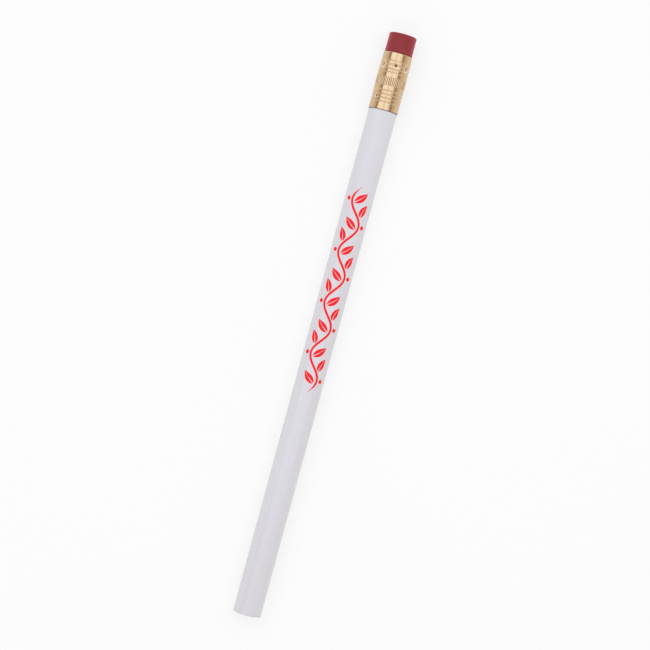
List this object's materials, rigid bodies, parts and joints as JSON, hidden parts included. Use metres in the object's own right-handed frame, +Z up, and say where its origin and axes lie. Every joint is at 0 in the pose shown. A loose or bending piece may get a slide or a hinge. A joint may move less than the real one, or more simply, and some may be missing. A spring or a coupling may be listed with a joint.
{
  "type": "giant pencil",
  "caption": "Oversized round wood-cased pencil, white lacquered and unsharpened, with a ringed and serrated brass ferrule and a red rubber eraser.",
  "frame": {"origin": "on the floor, under the middle of the pencil's length, with the pencil lying on its side", "axes": "+X along the pencil from the cut end to the eraser, +Z up, and the glue seam level"},
  "size_m": [0.381, 0.019, 0.019],
  "materials": {
    "graphite": "satin",
    "casing_wood": "matte",
    "glue": "satin",
    "white_lacquer": "gloss",
    "ferrule_brass": "polished",
    "eraser_rubber": "matte"
  },
  "bodies": {
    "root": {"graphite_core": "graphite", "casing_upper": "casing_wood", "casing_lower": "casing_wood", "glue_film_left": "glue", "glue_film_right": "glue", "lacquer_coat": "white_lacquer", "ferrule": "ferrule_brass", "eraser": "eraser_rubber"}
  },
  "joints": []
}
